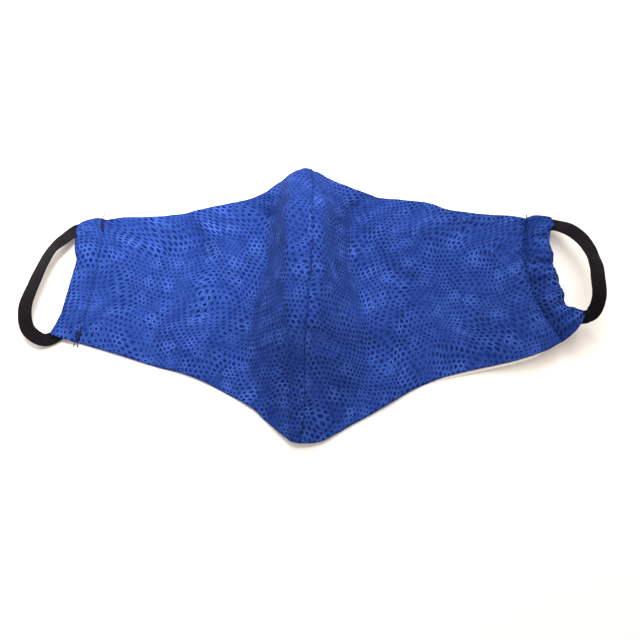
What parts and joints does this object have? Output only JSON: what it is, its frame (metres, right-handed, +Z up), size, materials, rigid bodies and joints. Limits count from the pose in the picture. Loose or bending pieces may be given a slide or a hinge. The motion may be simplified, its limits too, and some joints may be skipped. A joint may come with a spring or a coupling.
{
  "type": "fitted cloth face mask",
  "caption": "Fitted cloth face mask with a curved centre seam, a white lining, gathered side casings and flat elastic ear loops, lying open with its lining down.",
  "frame": {"origin": "middle of the mask's footprint, on the surface that it lies on", "axes": "+X across the face from one ear loop to the other, +Y from the chin hem to the nose hem, +Z up from the surface"},
  "size_m": [0.2832, 0.139, 0.038],
  "materials": {
    "printed_cotton": "matt woven cotton with a tonal blue print",
    "lining_cotton": "matt plain white cotton",
    "black_elastic": "matt black ribbed flat elastic"
  },
  "bodies": {
    "root": {"outer_panel_left": "printed_cotton", "outer_panel_right": "printed_cotton", "lining_left": "lining_cotton", "lining_right": "lining_cotton", "casing_left": "printed_cotton", "casing_right": "printed_cotton", "ear_elastic_left": "black_elastic", "ear_elastic_right": "black_elastic"}
  },
  "joints": []
}
